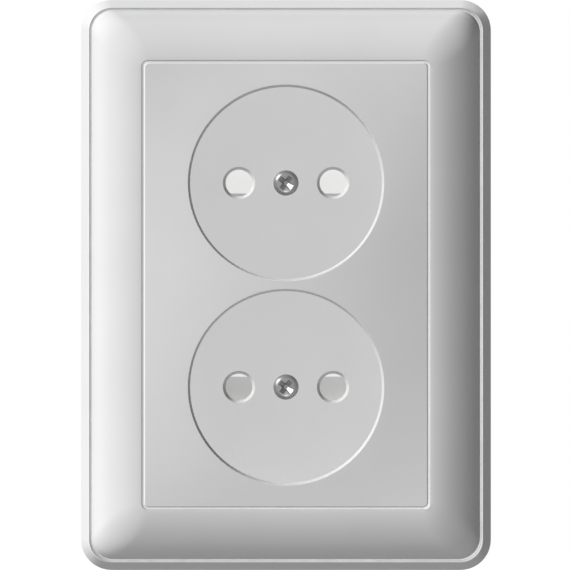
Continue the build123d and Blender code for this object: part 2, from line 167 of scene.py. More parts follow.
def mouldedSkinGroup(noise):
    group, given, result = makeGroup(
        "mouldedSkin",
        [
            ("Colour", "NodeSocketColor", None),
            ("Shade", "NodeSocketColor", None),
            ("Grain Scale", "NodeSocketFloat", 5000.0),
            ("Painted Shade Colour", "NodeSocketColor", None),
            ("Painted_shade", "NodeSocketFloat", 0.0),
            ("Worn Colour", "NodeSocketColor", None),
            ("Wear", "NodeSocketFloat", 0.0),
            ("Gloss Low", "NodeSocketFloat", 0.38),
            ("Gloss High", "NodeSocketFloat", 0.5),
        ],
        skinOutputs,
    )
    coords = group.nodes.new("ShaderNodeTexCoord").outputs["Object"]
    cloud = spread(group, noiseOf(group, coords, *noise["cloud"]), 0.0, 1.0)
    mixed = mixColours(group, cloud, given.outputs["Colour"], given.outputs["Shade"])
    scuff = spread(group, noiseOf(group, coords, *noise["scuff"]), noise["leastWear"], 1.0)
    rubbed = timesValue(group, given.outputs["Wear"], scuff)
    # the marked recesses get their painted shade here, then rubbed edges take the worn colour
    worn = mixColours(group, rubbed, withPaintedShade(group, given, mixed), given.outputs["Worn Colour"])
    group.links.new(worn, result.inputs["Colour"])
    speck = noiseOf(group, coords, *noise["speck"])
    gloss = spread(group, speck, given.outputs["Gloss Low"], given.outputs["Gloss High"])
    polish = spread(group, rubbed, 1.0, noise["polish"])
    group.links.new(timesValue(group, gloss, polish), result.inputs["Roughness"])
    grain = noiseOf(group, coords, given.outputs["Grain Scale"], noise["grainDetail"])
    group.links.new(grain, result.inputs["Height"])
    return group


# Drawn metal: streaks along one axis, blotches of plating, a little height
metalNoise = {"stretch": (1.0, 1.0, 0.06), "streak": (4200.0, 3.0), "blotch": (170.0, 5.0, 0.6)}


def drawnMetalGroup(noise):
    group, given, result = makeGroup(
        "drawnMetal",
        [
            ("Colour", "NodeSocketColor", None),
            ("Shade", "NodeSocketColor", None),
            ("Painted Shade Colour", "NodeSocketColor", None),
            ("Painted_shade", "NodeSocketFloat", 0.0),
            ("Gloss Low", "NodeSocketFloat", 0.22),
            ("Gloss High", "NodeSocketFloat", 0.42),
        ],
        skinOutputs,
    )
    coords = group.nodes.new("ShaderNodeTexCoord").outputs["Object"]
    stretch = group.nodes.new("ShaderNodeMapping")
    stretch.inputs["Scale"].default_value = noise["stretch"]
    group.links.new(coords, stretch.inputs["Vector"])
    streak = noiseOf(group, stretch.outputs["Vector"], *noise["streak"])
    blotch = spread(group, noiseOf(group, coords, *noise["blotch"]), 0.0, 1.0)
    mixed = mixColours(group, blotch, given.outputs["Colour"], given.outputs["Shade"])
    # the marked recesses get their painted shade here
    group.links.new(withPaintedShade(group, given, mixed), result.inputs["Colour"])
    gloss = spread(group, streak, given.outputs["Gloss Low"], given.outputs["Gloss High"])
    group.links.new(gloss, result.inputs["Roughness"])
    group.links.new(streak, result.inputs["Height"])
    return group


mouldedSkin = mouldedSkinGroup(mouldNoise)
drawnMetal = drawnMetalGroup(metalNoise)


def finishMaterial(name, group, look):
    material = bpy.data.materials.new(name)
    material.use_nodes = True
    tree = material.node_tree
    shader = tree.nodes["Principled BSDF"]
    skin = tree.nodes.new("ShaderNodeGroup")
    skin.node_tree = group
    skin.inputs["Colour"].default_value = (*look["colour"], 1.0)
    skin.inputs["Shade"].default_value = (*look["shade"], 1.0)
    skin.inputs["Painted Shade Colour"].default_value = (*look["painted_shade"], 1.0)
    skin.inputs["Gloss Low"].default_value = look["gloss"][0]
    skin.inputs["Gloss High"].default_value = look["gloss"][1]
    if group is mouldedSkin:
        skin.inputs["Grain Scale"].default_value = look["grain"]
        skin.inputs["Worn Colour"].default_value = (*look["worn"], 1.0)
    # face attributes give the amount of painted shade and of wear
    for mark in ("Painted_shade", "Wear"):
        if mark in skin.inputs:
            layer = tree.nodes.new("ShaderNodeAttribute")
            layer.attribute_name = mark.lower()
            tree.links.new(layer.outputs["Fac"], skin.inputs[mark])
    bump = tree.nodes.new("ShaderNodeBump")
    bump.inputs["Strength"].default_value = look["bump"]
    bump.inputs["Distance"].default_value = look["height"]
    shader.inputs["Metallic"].default_value = look["metal"]
    shader.inputs["Specular IOR Level"].default_value = look["specular"]
    tree.links.new(skin.outputs["Colour"], shader.inputs["Base Color"])
    tree.links.new(skin.outputs["Roughness"], shader.inputs["Roughness"])
    tree.links.new(skin.outputs["Height"], bump.inputs["Height"])
    tree.links.new(bump.outputs["Normal"], shader.inputs["Normal"])
    return material


# In each look the dark colour of painted shade is given beside the real colours; only the frame, the cover
# and the screws mark faces that take it
silverPlastic = finishMaterial("silverPlastic", mouldedSkin, {
    "colour": (0.575, 0.575, 0.58), "shade": (0.555, 0.555, 0.56), "gloss": (0.48, 0.58), "grain": 5200.0,
    "bump": 0.3, "height": 0.00004, "metal": 0.0, "specular": 0.03,
    "painted_shade": (0.1, 0.098, 0.095), "worn": (0.6, 0.6, 0.605),
})
whitePlastic = finishMaterial("whitePlastic", mouldedSkin, {
    "colour": (0.64, 0.64, 0.635), "shade": (0.62, 0.62, 0.615), "gloss": (0.35, 0.45), "grain": 4200.0,
    "bump": 0.1, "height": 0.00002, "metal": 0.0, "specular": 0.35,
    "painted_shade": (0.2, 0.195, 0.185), "worn": (0.66, 0.66, 0.655),
})
basePlastic = finishMaterial("basePlastic", mouldedSkin, {
    "colour": (0.47, 0.47, 0.455), "shade": (0.41, 0.41, 0.395), "gloss": (0.5, 0.68), "grain": 2600.0,
    "bump": 0.25, "height": 0.00004, "metal": 0.0, "specular": 0.3,
    "painted_shade": (0.16, 0.155, 0.145), "worn": (0.52, 0.52, 0.505),
})
platedSteel = finishMaterial("platedSteel", drawnMetal, {
    "colour": (0.50, 0.505, 0.51), "shade": (0.40, 0.405, 0.41), "gloss": (0.24, 0.4),
    "bump": 0.12, "height": 0.00002, "metal": 1.0, "specular": 0.5, "painted_shade": (0.1, 0.095, 0.09),
})
screwSteel = finishMaterial("screwSteel", drawnMetal, {
    "colour": (0.275, 0.275, 0.28), "shade": (0.24, 0.24, 0.245), "gloss": (0.24, 0.36),
    "bump": 0.1, "height": 0.00002, "metal": 0.55, "specular": 0.3, "painted_shade": (0.03, 0.03, 0.032),
})
contactBrass = finishMaterial("contactBrass", drawnMetal, {
    "colour": (0.76, 0.58, 0.27), "shade": (0.62, 0.45, 0.19), "gloss": (0.2, 0.36),
    "bump": 0.1, "height": 0.00002, "metal": 1.0, "specular": 0.5, "painted_shade": (0.2, 0.13, 0.06),
})
print("materials made")


# Mesh helpers

def keepPiece(bm, name, material, body, node, smoothAngle=32.0, place=standUp, weld=0.0005):
    bmesh.ops.remove_doubles(bm, verts=bm.verts, dist=weld)
    bmesh.ops.recalc_face_normals(bm, faces=bm.faces)
    bmesh.ops.transform(bm, matrix=place, verts=bm.verts)
    mesh = bpy.data.meshes.new(name)
    bm.to_mesh(mesh)
    bm.free()
    mesh.polygons.foreach_set("use_smooth", [True] * len(mesh.polygons))
    mesh.set_sharp_from_angle(angle=math.radians(smoothAngle))
    mesh.materials.append(material)
    piece = bpy.data.objects.new(name, mesh)
    scene.collection.objects.link(piece)
    normals = piece.modifiers.new("evenNormals", "WEIGHTED_NORMAL")
    normals.keep_sharp = True
    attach(piece, body)
    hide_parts(node)
    return piece


def addMarks(bm):
    # face amounts of painted shade and of wear
    bm.faces.layers.float.new("painted_shade")
    bm.faces.layers.float.new("wear")


def layDown(bm, mark, amount, faces):
    layer = bm.faces.layers.float.get(mark)
    for face in faces:
        face[layer] = amount


def bevelEdges(bm, edges, offset, segments, clamped=True):
    made = bmesh.ops.bevel(
        bm, geom=edges, offset=offset, offset_type="OFFSET", segments=segments, profile=0.5, affect="EDGES",
        material=-1, clamp_overlap=clamped,
    )
    return made["faces"]


def roundedLoop(bm, width, height, radius, level, steps):
    made = bmesh.ops.create_grid(bm, x_segments=1, y_segments=1, size=0.5)["verts"]
    bmesh.ops.scale(bm, vec=(width, height, 1.0), verts=made)
    bmesh.ops.translate(bm, vec=(0.0, 0.0, level), verts=made)
    bmesh.ops.bevel(
        bm, geom=made, offset=radius, offset_type="OFFSET", segments=steps, profile=0.5, affect="VERTICES",
        material=-1, clamp_overlap=True,
    )
    face = [f for f in bm.faces if len(f.verts) == 4 * (steps + 1)][-1]
    edges = list(face.edges)
    bmesh.ops.delete(bm, geom=[face], context="FACES_ONLY")
    return edges


# Each item once, in the order it came
def once(items):
    return list(dict.fromkeys(items))


def loopVerts(edges):
    return once(vert for edge in edges for vert in edge.verts)


def rectLoop(bm, width, height, y, level, across, up):
    made = bmesh.ops.create_grid(bm, x_segments=across, y_segments=up, size=0.5)["verts"]
    bmesh.ops.scale(bm, vec=(width, height, 1.0), verts=made)
    bmesh.ops.translate(bm, vec=(0.0, y, level), verts=made)
    rim = [edge for edge in once(e for vert in made for e in vert.link_edges) if edge.is_boundary]
    keep = set(loopVerts(rim))
    bmesh.ops.delete(bm, geom=[v for v in made if v not in keep], context="VERTS")
    left = [f for f in bm.faces if all(v in keep for v in f.verts)]
    bmesh.ops.delete(bm, geom=left, context="FACES_ONLY")
    return rim


def circleLoop(bm, x, y, radius, level, count):
    made = bmesh.ops.create_circle(bm, cap_ends=False, segments=count, radius=radius)["verts"]
    bmesh.ops.translate(bm, vec=(x, y, level), verts=made)
    return once(edge for vert in made for edge in vert.link_edges)


def bridge(bm, first, second):
    return bmesh.ops.bridge_loops(bm, edges=first + second)["faces"]


# Extrude a loop, draw it in about (x, y) and move it along Z
def dropLoop(bm, edges, x, y, ratio, depth):
    made = bmesh.ops.extrude_edge_only(bm, edges=edges)["geom"]
    verts = [item for item in made if isinstance(item, bmesh.types.BMVert)]
    about = Matrix.Translation((-x, -y, 0.0))
    bmesh.ops.scale(bm, vec=(ratio, ratio, 1.0), space=about, verts=verts)
    bmesh.ops.translate(bm, vec=(0.0, 0.0, depth), verts=verts)
    fresh = set(verts)
    return [e for e in once(e for v in verts for e in v.link_edges) if all(v in fresh for v in e.verts)]


def fillFlat(bm, loops):
    edges = [edge for loop in loops for edge in loop]
    bmesh.ops.triangle_fill(bm, use_beauty=True, use_dissolve=False, edges=edges)


def arcPoints(centre, radius, start, end, count):
    points = []
    for step in range(count + 1):
        angle = math.radians(start + (end - start) * step / count)
        points.append((centre[0] + radius * math.cos(angle), centre[1] + radius * math.sin(angle)))
    return points


# Outer frame: one closed moulding lofted through rounded outlines

frameSizes = {
    "width": 82.8, "height": 115.2, "corner": 6.1, "cornerSteps": 10, "band": 12.45, "wall": 2.0,
    "footInset": 2.0, "footEdge": 0.12, "footEase": 0.1,
    "rimRun": 1.5, "rimHeight": 4.4, "grooveWidth": 0.7, "grooveFloor": 3.8,
    # from the rim's edge down into the groove: past the rim's run, below its top, added to its corner
    "groove": (
        (-0.08, 0.22, 0.08), (0.08, 0.05, 0.0), (0.15, 0.0, 0.0), (0.32, 0.26, -0.1), (0.44, 0.3, -0.25),
        (0.6, 0.31, -0.4), (0.64, 0.6, -0.4),
    ),
    "sideRadius": 6.647, "topRadius": 15.253, "breakAngle": 30.0, "crestSteps": 9,
    "crestCorner": 4.4, "cornerBulge": 4.0, "innerSteps": 4, "innerCorner": 2.4,
    "mouthCorner": 1.1, "mouthEdge": 0.18, "mouthRoll": 0.35, "mouthEase": 0.05,
    "ledge": 1.4, "ledgeTop": 9.6, "ledgeBottom": 8.0, "ledgeCorner": 1.0,
    # painted shade in the groove and on the mouth's edge, on the steps listed
    "painted_shade": 0.25, "shadeSteps": (5, 6, 7, 8, 28, 29), "wornSteps": (3, 4),  # counted along the section
    "ribHalf": 0.6, "ribInset": 1.0, "sideRibs": (-25.0, 25.0), "endRibs": (-16.0, 16.0),
    "smooth": 40.0, "loopGap": 10.0,
}


# Inset and level of the body's section, from the groove up to the opening
def crestPoints(sizes, wall, count):
    sideInset = sizes["rimRun"] + sizes["grooveWidth"] + sizes["sideRadius"]
    reach = sizes["topRadius"] - sizes["sideRadius"]
    sweep = sizes["breakAngle"]
    topInset = sideInset + reach * math.sin(math.radians(sweep))
    topLevel = sizes["grooveFloor"] - reach * math.cos(math.radians(sweep))
    sideRadius = sizes["sideRadius"] - wall
    topRadius = sizes["topRadius"] - wall
    last = math.degrees(math.asin((topInset - sizes["band"] + sizes["mouthEdge"]) / topRadius))
    side = arcPoints((sideInset, sizes["grooveFloor"]), sideRadius, 180.0, 90.0 + sweep, count)
    top = arcPoints((topInset, topLevel), topRadius, 90.0 + sweep, 90.0 + last, count)
    return side + top[1:]


# Inset, level and corner radius of every outline, once round the section
def frameSection(sizes):
    corner = sizes["corner"]
    run = sizes["rimRun"]
    footEdge = sizes["footEdge"]
    footCorner = corner - sizes["footInset"]
    section = [
        (sizes["footInset"], 0.0, footCorner),
        (footEdge, 0.0, corner - sizes["footEase"]),
        (0.0, footEdge, corner),
    ]
    for past, below, ease in sizes["groove"]:
        section.append((run + past, sizes["rimHeight"] - below, corner - run + ease))
    band = sizes["band"]
    grooveEnd = run + sizes["grooveWidth"]
    crestCorner = sizes["crestCorner"]
    mouthCorner = sizes["mouthCorner"]
    for inset, level in crestPoints(sizes, 0.0, sizes["crestSteps"]):
        share = (inset - grooveEnd) / (band - grooveEnd)
        fullness = sizes["cornerBulge"] * share * (1 - share)
        section.append((inset, level, crestCorner + (mouthCorner - crestCorner) * share ** 2 + fullness))
    edge = sizes["mouthEdge"]
    face = section[-1][1]
    ledgeCorner = sizes["ledgeCorner"]
    section += [
        (band - edge / 2, face - sizes["mouthRoll"] * edge, mouthCorner),
        (band, face - edge, mouthCorner - sizes["mouthEase"]),
        (band, sizes["ledgeTop"], ledgeCorner),
        (band + sizes["ledge"], sizes["ledgeTop"], ledgeCorner),
        (band + sizes["ledge"], sizes["ledgeBottom"], ledgeCorner),
        (band - sizes["wall"], sizes["ledgeBottom"], ledgeCorner),
    ]
    innerCorner = sizes["innerCorner"]
    for inset, level in reversed(crestPoints(sizes, sizes["wall"], sizes["innerSteps"])):
        share = (inset - grooveEnd) / (band - grooveEnd)
        if inset < band - sizes["wall"]:
            section.append((inset, level, innerCorner + (ledgeCorner - innerCorner) * share))
    section.append((sizes["footInset"], sizes["grooveFloor"] - sizes["wall"], footCorner))
    return section


def ribOutline(sizes):
    end = sizes["band"] - sizes["ribInset"]
    low = sizes["grooveFloor"]
    points = [p for p in crestPoints(sizes, sizes["wall"] / 2, sizes["innerSteps"]) if p[0] < end]
    return [(points[0][0], low)] + points[1:] + [(end, points[-1][1]), (end, low)]


def addRib(bm, outline, half, x, y, turn):
    verts = [bm.verts.new((inset, -half, level)) for inset, level in outline]
    face = bm.faces.new(verts)
    pushed = bmesh.ops.extrude_face_region(bm, geom=[face])["geom"]
    moved = [v for v in pushed if isinstance(v, bmesh.types.BMVert)]
    bmesh.ops.translate(bm, vec=(0.0, 2 * half, 0.0), verts=moved)
    place = Matrix.Translation((x, y, 0.0)) @ Matrix.Rotation(math.radians(turn), 4, "Z")
    bmesh.ops.transform(bm, matrix=place, verts=verts + moved)


def addRibs(bm, sizes):
    outline = ribOutline(sizes)
    half = sizes["ribHalf"]
    halfWidth = sizes["width"] / 2
    halfHeight = sizes["height"] / 2
    for y in sizes["sideRibs"]:
        addRib(bm, outline, half, -halfWidth, y, 0.0)
        addRib(bm, outline, half, halfWidth, y, 180.0)
    for x in sizes["endRibs"]:
        addRib(bm, outline, half, x, -halfHeight, 90.0)
        addRib(bm, outline, half, x, halfHeight, 270.0)


def buildFrame(sizes):
    bm = bmesh.new()
    addMarks(bm)
    section = frameSection(sizes)
    gap = sizes["loopGap"]
    loops = []
    for step, (inset, level, radius) in enumerate(section):
        width = sizes["width"] - 2 * inset
        height = sizes["height"] - 2 * inset
        loops.append(roundedLoop(bm, width, height, radius, gap * step, sizes["cornerSteps"]))
    for step, (first, second) in enumerate(zip(loops, loops[1:] + loops[:1])):
        faces = bridge(bm, first, second)
        # painted shade in the groove and at the mouth's edge
        layDown(bm, "painted_shade", sizes["painted_shade"] if step in sizes["shadeSteps"] else 0.0, faces)
        layDown(bm, "wear", 1.0 if step in sizes["wornSteps"] else 0.0, faces)
    # the loops were staggered so that none share a plane while bridged
    for step, (inset, level, radius) in enumerate(section):
        bmesh.ops.translate(bm, vec=(0.0, 0.0, level - gap * step), verts=loopVerts(loops[step]))
    bmesh.ops.recalc_face_normals(bm, faces=bm.faces)
    addRibs(bm, sizes)
    keepPiece(bm, "frameMoulding", silverPlastic, "socket", "outer_frame", sizes["smooth"])


buildFrame(frameSizes)
print("frame moulded")


# Cover: a crowned face with two wells, its skirt and the cups behind

coverSizes = {
    "width": 57.3, "height": 89.7, "corner": 1.0, "cornerSteps": 6, "edge": 0.26, "face": 11.6,
    "crown": 35.2, "seam": (57.6, 90.0), "crownAbove": 10.1,  # the middle rises a sixteenth of crown
    "wellY": 20.6, "mouth": 19.75, "mouthEdge": 0.08, "foot": 19.74, "footLevel": 4.8,
    "floor": 19.37, "floorLevel": 3.6, "bore": 2.7, "boreLevel": 2.5, "screwHole": 1.9,
    "pinX": 9.5, "pinMouth": 3.26, "pinHole": 2.7, "pinEdge": 1.85,
    "cup": 20.55, "cupLevel": 1.6, "underside": 9.6,
    "skirt": (54.7, 87.1), "skirtCorner": 1.0, "skirtInner": 0.6, "skirtSteps": 4,
    "skirtWall": 2.0, "skirtLevel": 6.4,
    "round": 96, "small": 40, "across": 28, "up": 20, "rings": 5, "bridgeGap": 5.0,
    # painted shade on the foot ring of each well and on the lead-in of each pin hole
    "ringShade": 0.12, "pinShade": 0.16, "shadeBand": 0.3,
    "arrisAngle": 1.0, "slack": 0.01, "weld": 0.001,  # the angle is in radians
}


def crownRise(sizes, x, y):
    u = x / sizes["seam"][0] + 0.5
    v = y / sizes["seam"][1] + 0.5
    return sizes["crown"] * max(u * (1 - u), 0.0) * max(v * (1 - v), 0.0)


# Each half of the face is a rectangle bridged to its round mouth
def coverFace(bm, sizes):
    mouths = []
    gap = sizes["bridgeGap"]
    for side in (-1, 1):
        middle = side * sizes["height"] / 4
        rim = rectLoop(bm, sizes["width"], sizes["height"] / 2, middle, 0.0, sizes["across"], sizes["up"])
        mouth = circleLoop(bm, 0.0, side * sizes["wellY"], sizes["mouth"], -gap, sizes["round"])
        faces = bridge(bm, rim, mouth)
        along = set(rim + mouth)
        cross = [e for e in once(e for f in faces for e in f.edges) if e not in along]
        bmesh.ops.translate(bm, vec=(0.0, 0.0, gap), verts=loopVerts(mouth))
        bmesh.ops.subdivide_edges(bm, edges=cross, cuts=sizes["rings"], use_grid_fill=True)
        mouths.append(mouth)
    bmesh.ops.remove_doubles(bm, verts=bm.verts, dist=sizes["weld"])
    bmesh.ops.translate(bm, vec=(0.0, 0.0, sizes["face"]), verts=bm.verts)
    return mouths


def onLevel(edge, level, slack=0.001):
    return all(abs(v.co.z - level) < slack for v in edge.verts)


def onMouth(edge, sizes):
    reach = [math.hypot(v.co.x, abs(v.co.y) - sizes["wellY"]) for v in edge.verts]
    return all(abs(r - sizes["mouth"]) < sizes["slack"] for r in reach)


def atCorner(edge, sizes):
    x = sizes["width"] / 2 - sizes["slack"]
    y = sizes["height"] / 2 - sizes["slack"]
    return all(abs(v.co.x) > x and abs(v.co.y) > y for v in edge.verts)


def wellBelow(bm, sizes, mouth, y):
    floorLevel = sizes["floorLevel"]
    foot = dropLoop(bm, mouth, 0.0, y, sizes["foot"] / sizes["mouth"], sizes["footLevel"] - sizes["face"])
    floor = dropLoop(bm, foot, 0.0, y, sizes["floor"] / sizes["foot"], floorLevel - sizes["footLevel"])
    bore = circleLoop(bm, 0.0, y, sizes["bore"], floorLevel, sizes["small"])
    seat = dropLoop(bm, bore, 0.0, y, 1.0, sizes["boreLevel"] - floorLevel)
    hole = dropLoop(bm, seat, 0.0, y, sizes["screwHole"] / sizes["bore"], 0.0)
    tops = [floor, bore]
    ends = [dropLoop(bm, hole, 0.0, y, 1.0, sizes["cupLevel"] - sizes["boreLevel"])]
    for x in (-sizes["pinX"], sizes["pinX"]):
        lip = circleLoop(bm, x, y, sizes["pinMouth"], floorLevel, sizes["small"])
        neck = dropLoop(bm, lip, x, y, sizes["pinHole"] / sizes["pinMouth"], -sizes["pinEdge"])
        ends.append(dropLoop(bm, neck, x, y, 1.0, sizes["cupLevel"] - floorLevel + sizes["pinEdge"]))
        tops.append(lip)
    fillFlat(bm, tops)
    return ends


# The lip below the face, the skirt, the web behind it and the two cups
def coverBack(bm, sizes, ends):
    under = sizes["underside"]
    edge = [e for e in bm.edges if e.is_boundary and onLevel(e, under)]
    wide, tall = sizes["skirt"]
    wall = 2 * sizes["skirtWall"]
    steps = sizes["skirtSteps"]
    rise = under - sizes["skirtLevel"]
    skirt = roundedLoop(bm, wide, tall, sizes["skirtCorner"], under, steps)
    fillFlat(bm, [edge, skirt])
    low = dropLoop(bm, skirt, 0.0, 0.0, 1.0, -rise)
    inner = roundedLoop(bm, wide - wall, tall - wall, sizes["skirtInner"], sizes["skirtLevel"], steps)
    fillFlat(bm, [low, inner])
    web = dropLoop(bm, inner, 0.0, 0.0, 1.0, rise)
    centres = [side * sizes["wellY"] for side in (-1, 1)]
    cups = [circleLoop(bm, 0.0, y, sizes["cup"], under, sizes["round"]) for y in centres]
    fillFlat(bm, [web] + cups)
    for y, cup, holes in zip(centres, cups, ends):
        bottom = dropLoop(bm, cup, 0.0, y, 1.0, sizes["cupLevel"] - under)
        fillFlat(bm, [bottom] + holes)


# Painted shade on the foot ring of each well and on the pin holes' lead-ins
def paintCoverShade(bm, sizes):
    ring = (sizes["foot"] + sizes["floor"]) / 2
    lip = (sizes["pinMouth"] + sizes["pinHole"]) / 2
    floorLevel = sizes["floorLevel"]
    band = sizes["shadeBand"]
    for face in bm.faces:
        middle = face.calc_center_median()
        y = abs(middle.y) - sizes["wellY"]
        fromWell = math.hypot(middle.x, y)
        fromPin = math.hypot(abs(middle.x) - sizes["pinX"], y)
        if floorLevel < middle.z < sizes["footLevel"] and abs(fromWell - ring) < band:
            layDown(bm, "painted_shade", sizes["ringShade"], [face])
        elif floorLevel - sizes["pinEdge"] < middle.z < floorLevel and abs(fromPin - lip) < band:
            layDown(bm, "painted_shade", sizes["pinShade"], [face])


def buildCover(sizes):
    bm = bmesh.new()
    addMarks(bm)
    mouths = coverFace(bm, sizes)
    mouthVerts = {v for mouth in mouths for v in loopVerts(mouth)}
    outer = [e for e in bm.edges if e.is_boundary and not all(v in mouthVerts for v in e.verts)]
    ends = [wellBelow(bm, sizes, mouth, side * sizes["wellY"]) for side, mouth in zip((-1, 1), mouths)]
    dropLoop(bm, outer, 0.0, 0.0, 1.0, sizes["underside"] - sizes["face"])
    bevelEdges(bm, [e for e in bm.edges if atCorner(e, sizes)], sizes["corner"], sizes["cornerSteps"])
    bmesh.ops.recalc_face_normals(bm, faces=bm.faces)
    bm.normal_update()
    shared = [e for e in bm.edges if onLevel(e, sizes["face"]) and len(e.link_faces) == 2]
    arris = [e for e in shared if e.calc_face_angle() > sizes["arrisAngle"]]
    brim = [e for e in arris if not onMouth(e, sizes)]
    lips = [e for e in arris if onMouth(e, sizes)]
    layDown(bm, "wear", 1.0, bevelEdges(bm, brim, sizes["edge"], 1))
    layDown(bm, "wear", 1.0, bevelEdges(bm, lips, sizes["mouthEdge"], 2))
    for vert in bm.verts:
        if vert.co.z > sizes["crownAbove"]:
            vert.co.z += crownRise(sizes, vert.co.x, vert.co.y)
    coverBack(bm, sizes, ends)
    paintCoverShade(bm, sizes)
    return keepPiece(bm, "coverMoulding", silverPlastic, "socket", "cover_plate")


cover = buildCover(coverSizes)
cover.visible_diffuse = False  # keeps the wells as even as they look in the photograph
print("cover moulded")


# Screws: a spun head with its drive cut in, a core and a helical thread

def spinOutline(bm, points, x, y, steps):
    verts = [bm.verts.new((x + radius, y, level)) for radius, level in points]
    edges = [bm.edges.new(pair) for pair in zip(verts, verts[1:])]
    bmesh.ops.spin(
        bm, geom=verts + edges, cent=(x, y, 0.0), axis=(0.0, 0.0, 1.0), dvec=(0.0, 0.0, 0.0),
        angle=math.radians(360), steps=steps, use_merge=True,
    )


threadForm = {"flank": 0.42, "sink": 0.06, "steps": 20}


# A triangle carried round and up makes the ridge
def addThread(bm, x, y, thread):
    pitch = thread["pitch"]
    steps = threadForm["steps"]
    half = threadForm["flank"] * pitch
    low = thread["low"]
    base = thread["core"] - threadForm["sink"]
    corners = ((base, low), (thread["crest"], low + half), (base, low + 2 * half))
    verts = [bm.verts.new((x + radius, y, level)) for radius, level in corners]
    face = bm.faces.new(verts)
    count = int((thread["high"] - low - 2 * half) / pitch * steps)
    bmesh.ops.spin(
        bm, geom=verts + list(face.edges) + [face], cent=(x, y, 0.0), axis=(0.0, 0.0, 1.0),
        dvec=(0.0, 0.0, pitch / steps), angle=math.radians(360.0 * count / steps), steps=count,
        use_merge=False,
    )


def driveBar(x, y, top, bar, turn):
    bm = bmesh.new()
    verts = bmesh.ops.create_cube(bm, size=1.0)["verts"]
    bmesh.ops.scale(bm, vec=(bar["length"], bar["width"], 2 * bar["depth"]), verts=verts)
    low = [v for v in verts if v.co.z * bar["down"] > 0]
    bmesh.ops.scale(bm, vec=(bar["draw"], bar["draw"] ** 0.5, 1.0), verts=low)
    spun = Matrix.Rotation(math.radians(turn), 3, "Z")
    bmesh.ops.rotate(bm, cent=(0.0, 0.0, 0.0), matrix=spun, verts=verts)
    bmesh.ops.translate(bm, vec=(x, y, top), verts=verts)
    return bm


def tempObject(bm, name):
    mesh = bpy.data.meshes.new(name)
    bm.to_mesh(mesh)
    bm.free()
    piece = bpy.data.objects.new(name, mesh)
    scene.collection.objects.link(piece)
    return piece


def carve(bm, cutters, weld=0.0005):
    bmesh.ops.remove_doubles(bm, verts=bm.verts, dist=weld)
    bmesh.ops.recalc_face_normals(bm, faces=bm.faces)
    body = tempObject(bm, "carveBody")
    tools = [tempObject(cutter, "carveTool") for cutter in cutters]
    for tool in tools:
        cut = body.modifiers.new("cut", "BOOLEAN")
        cut.operation = "DIFFERENCE"
        cut.solver = "EXACT"
        cut.object = tool
    shaped = body.evaluated_get(bpy.context.evaluated_depsgraph_get())
    result = bmesh.new()
    result.from_mesh(shaped.to_mesh())
    shaped.to_mesh_clear()
    for item in [body] + tools:
        mesh = item.data
        bpy.data.objects.remove(item)
        bpy.data.meshes.remove(mesh)
    return result


coverScrew = {
    "head": (
        (0.0, 2.5), (2.56, 2.5), (2.56, 3.4), (2.5, 3.54),
        (2.04, 3.98), (1.9, 4.08), (1.78, 4.13), (0.0, 4.26),
    ),
    "top": 4.26, "turns": (-38.0, 52.0),
    "bar": {"length": 6.2, "width": 1.6, "depth": 0.95, "draw": 0.115, "down": -1},
    "cone": ((0.0, 5.0), (1.0, 5.0), (0.0, 3.0)),
    "shank": ((0.0, -9.2), (0.9, -9.2), (1.25, -8.8), (1.25, 2.6), (0.0, 2.6)),
    "thread": {"core": 1.25, "crest": 1.49, "pitch": 0.7, "low": -8.9, "high": 0.8},
    # painted shade in the drive recess
    "painted_shade": 0.3, "shadeReach": 1.75,
}
terminalScrew = {
    "head": (
        (0.0, -22.4), (2.95, -22.4), (3.2, -22.65), (3.2, -24.1),
        (3.05, -24.42), (2.7, -24.58), (0.0, -24.6),
    ),
    "top": -24.6, "turns": (25.0,),
    "bar": {"length": 7.4, "width": 0.9, "depth": 1.1, "draw": 1.0, "down": 1},
    "shank": ((0.0, -22.5), (1.5, -22.5), (1.5, -16.0), (1.2, -15.62), (0.0, -15.6)),
    "thread": {"core": 1.5, "crest": 1.74, "pitch": 0.6, "low": -22.3, "high": -15.8},
    # painted shade in the drive recess
    "painted_shade": 0.5, "shadeReach": 3.1, "x": 9.5,
}
clawScrew = {
    "head": (
        (0.0, 6.0), (2.5, 6.0), (2.75, 6.25), (2.75, 7.4),
        (2.62, 7.72), (2.3, 7.92), (1.6, 8.0), (0.0, 8.0),
    ),
    "top": 8.0, "turns": (30.0,),
    "bar": {"length": 6.4, "width": 0.9, "depth": 1.1, "draw": 1.0, "down": -1},
    "shank": ((0.0, -2.5), (1.0, -2.5), (1.28, -2.2), (1.28, 6.1), (0.0, 6.1)),
    "thread": {"core": 1.28, "crest": 1.49, "pitch": 0.7, "low": -2.3, "high": 5.9},
    # painted shade in the drive recess
    "painted_shade": 0.5, "shadeReach": 2.65, "x": 21.0,
}
screwForm = {"round": 48, "smooth": 24.0, "recessSlack": 0.05, "flatNormal": 0.9}


def inRecess(face, x, y, shape, turns):
    middle = face.calc_center_median() - Vector((x, y, 0.0))
    across = [abs((Matrix.Rotation(math.radians(-turn), 3, "Z") @ middle).y) for turn in turns]
    halfBar = shape["bar"]["width"] / 2 + screwForm["recessSlack"]
    sloped = abs(face.normal.z) < screwForm["flatNormal"]
    return sloped and middle.xy.length < shape["shadeReach"] and min(across) < halfBar


